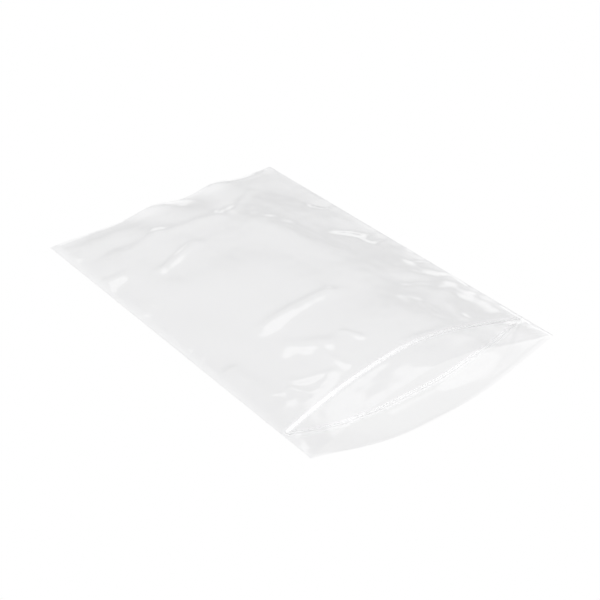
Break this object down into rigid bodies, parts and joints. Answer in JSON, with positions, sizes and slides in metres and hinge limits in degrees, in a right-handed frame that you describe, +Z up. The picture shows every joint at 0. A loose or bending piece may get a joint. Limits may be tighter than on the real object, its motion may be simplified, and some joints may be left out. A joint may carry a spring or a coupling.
{
  "type": "zipper bag",
  "caption": "Clear press-to-close plastic bag lying flat with its mouth sprung open, folded at the bottom and welded along both sides.",
  "frame": {"origin": "on the table, under the middle of the bag's box", "axes": "+Z up out of the table, +Y along the bag from its mouth to its bottom fold, +X across it"},
  "size_m": [0.2, 0.32, 0.0437],
  "materials": {
    "film": "clear, glossy, a little milky",
    "strip": "clear, milky where it is thick"
  },
  "bodies": {
    "root": {"bag_film": "film", "zip_rib": "strip", "zip_channel": "strip"}
  },
  "joints": []
}
